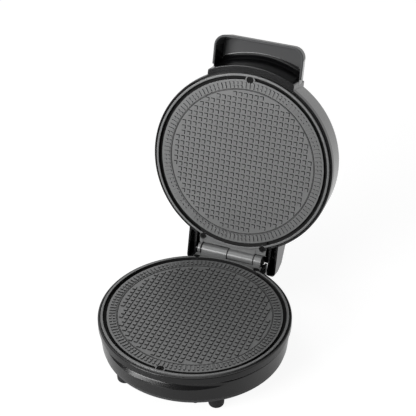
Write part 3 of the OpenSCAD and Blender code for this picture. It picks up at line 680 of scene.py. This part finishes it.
def hinge_bay():
    """Squared-off box behind the drum, with ears level with the rim and rounded behind."""
    plan = prism("bay", rounded([(-BAY_HALF, 60, 0), (BAY_HALF, 60, 0), (BAY_HALF, BAY_BACK, 6),
                                 (-BAY_HALF, BAY_BACK, 6)]), 0, BASE_H)
    side = side_prism("ear side", rounded([(50, 0.5, 0), (BAY_BACK, 0.5, 9),
                                           (BAY_BACK, BASE_H, 1.2), (50, BASE_H, 0)], 10),
                      -60, 60)
    return common(plan, side)


def base_shell():
    """Base drum with its rim bead, shadow groove, finger recess and hinge bay."""
    shell = turned("base_shell", rounded([
        (RIM_IN_R, LEDGE_Z, 0), (RIM_IN_R, 0.5, 0.3), (HOUSING_R, 0.5, 0.9),
        (HOUSING_R, 8.5, 0.9), (HOUSING_R - 3, 8.5, 0), (HOUSING_R - 3, 10.3, 0.4),
        (HOUSING_R - 1.3, 10.3, 1.1), (HOUSING_END_R, BASE_H, 2.2), (SHELL_IN_R, BASE_H, 0),
        (SHELL_IN_R, 30, 0), (SHELL_IN_R - 3.2, 26, 0), (SHELL_IN_R - 3.2, LEDGE_Z, 0)]))
    add(shell, hinge_bay())
    half = BAY_HALF - WALL
    cut(shell, plate_room(),
        block("bay hollow", (-half, 98.6, 12), (half, BAY_BACK - WALL, 40)),
        block("tab slot", (-half, 70, -5), (half, BAY_BACK - WALL, LEDGE_Z)),
        block("barrel slot", (-half, 96.5, -5), (half, BAY_BACK + 5, 7.7)),
        prism("drum hollow", rounded([(-60, -60, 30), (60, -60, 30), (60, 60, 30),
                                      (-60, 60, 30)]), 0, 60))
    recess = turned("finger recess", rounded([
        (RECESS_R, 8.5, 0), (RECESS_R, 14.2, 2.6), (RECESS_R + 4.6, 19, 6),
        (RECESS_R + 40, 23, 0), (RECESS_R + 40, 8.5, 0)], 8), centre=(0, RECESS_BACK))
    keep_front = block("front", (-90, -200, 0), (90, -30, 60))
    cut(shell, common(recess, keep_front))
    return shell


def feet():
    """Four rubber feet with rounded ends."""
    angle = math.radians(FOOT_ANGLE)
    places = [(FOOT_RING * math.cos(angle), -FOOT_RING * math.sin(angle)), REAR_FOOT]
    top = BASE_H + WALL + 0.1
    end = BASE_H + WALL + FOOT_H
    made = []
    for x, y in places:
        for side in (-1, 1):
            made.append(turned("foot", rounded([
                (0, top, 0), (FOOT_R, top, 0.3), (FOOT_R - 0.9, end, 3.0),
                (5.6, end, 0.4), (3.5, end - 1.2, 0.2),
                (3.5, top + 7, 0), (0, top + 7, 0)]), centre=(side * x, y), around=48))
    return joined("rubber_feet", made)


# ---- Lid ----

def arm_outline(inset):
    """Side of a hinge arm, in (y, z): level face and a slanted end."""
    return rounded([
        (60, 0.5 - 3 * (inset > 0), 0), (ARM_END - inset, 0.5 - 3 * (inset > 0), 0.8),
        (ARM_END - inset, 5, 4), (ARM_END - 10 - inset, ARM_H - inset, 4),
        (HINGE_BACK - 8, ARM_H + 5 - inset, 8), (92, LID_H - 9 - inset, 4),
        (60, LID_H - 9 - inset, 0)], 6)


def hinge_arm():
    """Hollow arm beside the hinge, open towards the face."""
    outer = prism("arm", rounded([(ARM_IN, 60, 0), (ARM_OUT, 60, 0), (ARM_OUT, ARM_END, 4.4),
                                  (ARM_IN, ARM_END, 3.0)]), 0, LID_H)
    common(outer, side_prism("arm side", arm_outline(0), ARM_IN - 5, ARM_OUT + 5))
    left, right, back = ARM_IN + ARM_WALL, ARM_OUT - ARM_WALL, ARM_END - ARM_WALL
    inner = prism("arm hollow", rounded([(left, 60, 0), (right, 60, 0), (right, back, 2.6),
                                         (left, back, 1.8)]), -3, LID_H)
    common(inner, side_prism("hollow side", arm_outline(ARM_WALL), ARM_IN - 5, ARM_OUT + 5))
    cut(outer, inner)
    return cut(outer, turned("drum room", [(0, -5), (SHELL_IN_R + 1, -5),
                                           (SHELL_IN_R + 1, LID_H + 5), (0, LID_H + 5)]))


def lip_plan(outer_r, half, end_r):
    """Plan of the front lip: an arc on the drum with rounded ends."""
    spread = math.asin(half / outer_r)
    arc = [(outer_r * math.sin(spread * t / 24), -outer_r * math.cos(spread * t / 24), 0)
           for t in range(-23, 24)]
    corner = (half, -outer_r * math.cos(spread), end_r)
    return rounded([(-half, -80, 0), (-corner[0], corner[1], end_r), *arc, corner,
                    (half, -80, 0)])


def lid_shell():
    """Lid drum with its rim bead and crown, front lip, rear block and hinge arms."""
    crown = LID_H - 0.6
    shell = turned("lid_shell", rounded([
        (RIM_IN_R, LEDGE_Z, 0), (RIM_IN_R, 0.5, 0.3), (HOUSING_R, 0.5, 0.8),
        (HOUSING_R, 7.0, 3), (HOUSING_END_R + 0.5, crown, 4.0), (60, LID_H + 0.8, 60),
        (0, LID_H + 1.4, 0), (0, LID_H - 1, 0), (SHELL_IN_R - 3, crown - WALL, 0),
        (SHELL_IN_R, 30, 0), (SHELL_IN_R, LEDGE_Z, 0)], 8))
    levels = [(0.5 + LIP_EDGE * (1 - math.sin(t)), LIP_EDGE * (1 - math.cos(t)))
              for t in (math.pi / 2 * k / 4 for k in (4, 3, 2, 1, 0))] + [(HANDLE_RIM, 0)]
    lip = lofted("lip", [[(p[0], p[1], z)
                          for p in lip_plan(LIP_R - inset, LIP_HALF - inset, 2.2)]
                         for z, inset in levels])
    lip_back = prism("lip back", lip_plan(SEAM_R - 0.1, LIP_HALF, 1.0), HANDLE_RIM - 1,
                     crown - 0.6)
    rear = block("rear block", (-ARM_IN - 2, 70, 8), (ARM_IN + 2, 100, LID_H - 8))
    add(shell, add(lip, lip_back), rear)
    half = ARM_IN - 0.3
    cut(shell,
        turned("drum hollow", [(0, -5), (SHELL_IN_R - 1, -5), (SHELL_IN_R - 1, 34), (0, 34)]),
        block("tab slot", (-half, 88, -5), (half, 99, LEDGE_Z)),
        block("barrel slot", (-half, HINGE_BACK - 8.2, -5), (half, 160, 9)))
    arm = hinge_arm()
    apron = block("hinge apron", (-ARM_IN - 1.2, 98.8, 9.5),
                  (ARM_IN + 1.2, HINGE_BACK + 5, 11.9))
    add(shell, mirrored(arm), arm, apron)
    return cut(shell, plate_room())


def scoop_outline(z, inset, corner):
    """One level of the scoop: a rectangle with two round front corners, run into the drum."""
    half, front = HANDLE_HALF - inset, HANDLE_REACH - inset
    return [(p[0], p[1], z) for p in rounded([
        (-half, -80, 0), (-half, -front, corner), (half, -front, corner), (half, -80, 0)], 12)]


def scoop_handle():
    """Hollow scoop, open towards the face, with a drafted wall and round roof edge."""
    roof = LID_H - 0.6
    levels = []
    inner_roof = roof - HANDLE_WALL

    def side_inset(z):
        return HANDLE_DRAFT * (z - HANDLE_RIM) / (roof - HANDLE_RIM)

    for k in range(7):
        turn = math.radians(90 * k / 6)
        z = inner_roof - 2 + 2 * math.cos(turn)
        levels.append((z, side_inset(z) + HANDLE_WALL + 2 * (1 - math.sin(turn)), 8.5))
    for k in range(7):
        turn = math.radians(180 * k / 6)
        edge = HANDLE_WALL / 2
        levels.append((HANDLE_RIM + edge * (1 - math.sin(turn)) * 0.8,
                       edge + edge * math.cos(turn),
                       HANDLE_CORNER - edge * (1 + math.cos(turn))))
    for k in range(9):
        turn = math.radians(90 * k / 8)
        z = roof - HANDLE_CROWN_R + HANDLE_CROWN_R * math.sin(turn)
        levels.append((z, side_inset(z) + HANDLE_CROWN_R * (1 - math.cos(turn)),
                       HANDLE_CORNER - 1))
    shell = lofted("scoop_handle", [scoop_outline(*level) for level in levels])
    body = lofted("scoop body", [scoop_outline(HANDLE_RIM + 0.1, 1.0, HANDLE_CORNER),
                                 scoop_outline(inner_roof + 1, side_inset(roof) + 1.5, 9)])
    neck = turned("neck", rounded([
        (SEAM_R, HANDLE_RIM, 0), (LIP_R, HANDLE_RIM, 0), (LIP_R, inner_roof + 0.2, NECK_SWEEP),
        (LIP_R + 20, inner_roof + 0.2, 0), (LIP_R + 20, roof - 0.5, 0),
        (SEAM_R, roof - 0.5, 0)], 10))
    add(shell, common(body, neck))
    cut(shell, turned("seam", [(0, -5), (SEAM_R, -5), (SEAM_R, 60), (0, 60)]),
        block("left step", (-70, -97, 0), (-LIP_HALF - 0.1, -60, 60)),
        block("right step", (LIP_HALF + 0.1, -97, 0), (70, -60, 60)))
    return shell


def on_shaded_neck(centre, _normal):
    """Whether a face of the handle is on the wall that follows the drum; these get painted
    shade.
    """
    return (math.hypot(centre.x, centre.y) < LIP_R + 6.5
            and HANDLE_RIM - 0.3 < centre.z < LID_H - HANDLE_WALL + 0.4)


# ---- Studio ----

WORLD_LEVEL = 0.1
WORLD_FRONT = 0.15          # how white the surroundings are in gloss, in front
FLOOR_FRONT = 0.1           # the same for the floor
FLOOR_SHARE = 0.78          # how much of the floor is plain white to the camera
FLOOR_LEVEL = 1.18          # strength of that white; with its share it stays under 1
FLOOR_Z = -0.0004
AIM = (0, 0, 0.12)
LENS = 116.934
CAMERA_FROM_FIELD = (0.410338, -1.010134, 0.893380)
CAMERA_DOWN = 34.8827
CAMERA_TURN = 21.3887


def white_for_camera(nodes, links, shaded, gloss=None, share=1.0, level=1.0):
    """Shader that is white to the camera and in gloss by a share, and else the shaded one."""
    path = nodes.new("ShaderNodeLightPath")
    in_gloss = path.outputs["Is Glossy Ray"]
    if gloss is not None:
        dimmed = nodes.new("ShaderNodeMath")
        dimmed.operation = "MULTIPLY"
        links.new(in_gloss, dimmed.inputs[0])
        links.new(gloss, dimmed.inputs[1])
        in_gloss = dimmed.outputs[0]
    seen = nodes.new("ShaderNodeMath")
    seen.operation = "MAXIMUM"
    links.new(path.outputs["Is Camera Ray"], seen.inputs[0])
    links.new(in_gloss, seen.inputs[1])
    through = nodes.new("ShaderNodeMath")
    through.operation = "MAXIMUM"
    links.new(seen.outputs[0], through.inputs[0])
    links.new(path.outputs["Is Transmission Ray"], through.inputs[1])
    part = nodes.new("ShaderNodeMath")
    part.operation = "MULTIPLY"
    links.new(through.outputs[0], part.inputs[0])
    part.inputs[1].default_value = share
    white = nodes.new("ShaderNodeBackground" if shaded.bl_idname == "ShaderNodeBackground"
                      else "ShaderNodeEmission")
    white.inputs["Color"].default_value = (1, 1, 1, 1)
    white.inputs["Strength"].default_value = level
    mix = nodes.new("ShaderNodeMixShader")
    links.new(part.outputs[0], mix.inputs["Fac"])
    links.new(shaded.outputs[0], mix.inputs[1])
    links.new(white.outputs[0], mix.inputs[2])
    return mix


def towards_back(nodes, links, kind, near, far, least):
    """Share that grows from a least value in front to 1 behind, along Y."""
    place = nodes.new("ShaderNodeTexCoord")
    parts = nodes.new("ShaderNodeSeparateXYZ")
    links.new(place.outputs[kind], parts.inputs[0])
    rise = nodes.new("ShaderNodeMapRange")
    rise.inputs["From Min"].default_value = near
    rise.inputs["From Max"].default_value = far
    rise.inputs["To Min"].default_value = least
    links.new(parts.outputs["Y"], rise.inputs["Value"])
    return rise.outputs[0]


def white_surroundings():
    """World that looks white, but dark in gloss towards the front, where the studio is dim."""
    world = bpy.data.worlds.new("studio")
    bpy.context.scene.world = world
    world.use_nodes = True
    nodes, links = world.node_tree.nodes, world.node_tree.links
    dim = nodes["Background"]
    dim.inputs["Color"].default_value = (1, 1, 1, 1)
    path = nodes.new("ShaderNodeLightPath")
    level = nodes.new("ShaderNodeMath")
    level.operation = "MULTIPLY_ADD"
    links.new(path.outputs["Is Glossy Ray"], level.inputs[0])
    level.inputs[1].default_value = -WORLD_LEVEL
    level.inputs[2].default_value = WORLD_LEVEL
    links.new(level.outputs[0], dim.inputs["Strength"])
    mix = white_for_camera(nodes, links, dim,
                           gloss=towards_back(nodes, links, "Generated", -0.4, 0.2,
                                              WORLD_FRONT))
    links.new(mix.outputs[0], nodes["World Output"].inputs["Surface"])


def pale_floor():
    """Pale floor under and behind the maker, which keeps its shadow and a faint reflection."""
    front, back, side = -0.95, 9.0, 5.0
    mesh = bpy.data.meshes.new("floor")
    mesh.from_pydata([(-side, front, FLOOR_Z), (side, front, FLOOR_Z), (side, back, FLOOR_Z),
                      (-side, back, FLOOR_Z)], [], [(0, 1, 2, 3)])
    floor = bpy.data.objects.new("floor", mesh)
    bpy.context.scene.collection.objects.link(floor)
    material = bpy.data.materials.new("pale floor")
    material.use_nodes = True
    nodes, links = material.node_tree.nodes, material.node_tree.links
    shader = nodes["Principled BSDF"]
    shader.inputs["Base Color"].default_value = (0.9, 0.9, 0.9, 1)
    shader.inputs["Roughness"].default_value = 0.12
    shader.inputs["Specular IOR Level"].default_value = 0.35
    mix = white_for_camera(nodes, links, shader, share=FLOOR_SHARE, level=FLOOR_LEVEL,
                           gloss=towards_back(nodes, links, "Object", -0.15, 0.1, FLOOR_FRONT))
    links.new(mix.outputs[0], nodes["Material Output"].inputs["Surface"])
    floor.data.materials.append(material)
    return floor


def soft_light(name, place, aim, width, height, power):
    """Softbox at a place, turned to face a point."""
    lamp = bpy.data.lights.new(name, "AREA")
    lamp.shape = "RECTANGLE"
    lamp.size = width
    lamp.size_y = height
    lamp.energy = power
    holder = bpy.data.objects.new(name, lamp)
    holder.location = place
    holder.rotation_euler = (Vector(aim) - Vector(place)).to_track_quat("-Z", "Y").to_euler()
    bpy.context.scene.collection.objects.link(holder)
    return holder


def studio_camera():
    """Camera at the viewing angle: above the front, to the right."""
    eye = bpy.data.cameras.new("camera")
    eye.sensor_width = 36.0
    eye.lens = LENS
    eye.clip_start = 0.05
    eye.clip_end = 50.0
    holder = bpy.data.objects.new("camera", eye)
    holder.location = field_low + Vector(CAMERA_FROM_FIELD)
    holder.rotation_euler = (math.radians(90 - CAMERA_DOWN), 0.0, math.radians(CAMERA_TURN))
    bpy.context.scene.collection.objects.link(holder)
    bpy.context.scene.camera = holder


def build_studio():
    """Surroundings, floor, lights and camera."""
    bpy.context.scene.view_settings.view_transform = "Standard"
    white_surroundings()
    pale_floor()
    soft_light("front softbox", (-1.15, -1.9, 0.95), AIM, 1.3, 1.0, 46)
    soft_light("top softbox", (-0.5, -0.4, 1.5), AIM, 1.2, 1.2, 7)
    studio_camera()


# ---- The maker ----

finish_cad_nodes()
seat_piece(base_shell(), "base", black_plastic, "black_plastic", "base_housing")
# Both plates get painted shade on the sides of studs and ticks and in the grooves.
seat_piece(cast_plate("lower_casting", (LOWER_LONG, LOWER_SHORT), (UPPER_SHORT, UPPER_LONG)),
           "base", plate_coating, "non_stick_plate", "lower_plate",
           second=crease_painted_shade, chosen=in_shaded_crease)
seat_piece(feet(), "base", foot_rubber, "rubber", "feet")
seat_piece(lid_shell(), "lid", black_plastic, "black_plastic", "lid_housing")
# The handle's neck takes the black plastic as painted shade; the rest of the handle is satin
# grey.
seat_piece(scoop_handle(), "lid", handle_plastic, "black_plastic", "handle",
           second=black_plastic, chosen=on_shaded_neck)
seat_piece(cast_plate("upper_casting", (UPPER_SHORT, UPPER_LONG), (LOWER_LONG, LOWER_SHORT)),
           "lid", plate_coating, "non_stick_plate", "upper_plate",
           second=crease_painted_shade, chosen=in_shaded_crease)
build_studio()
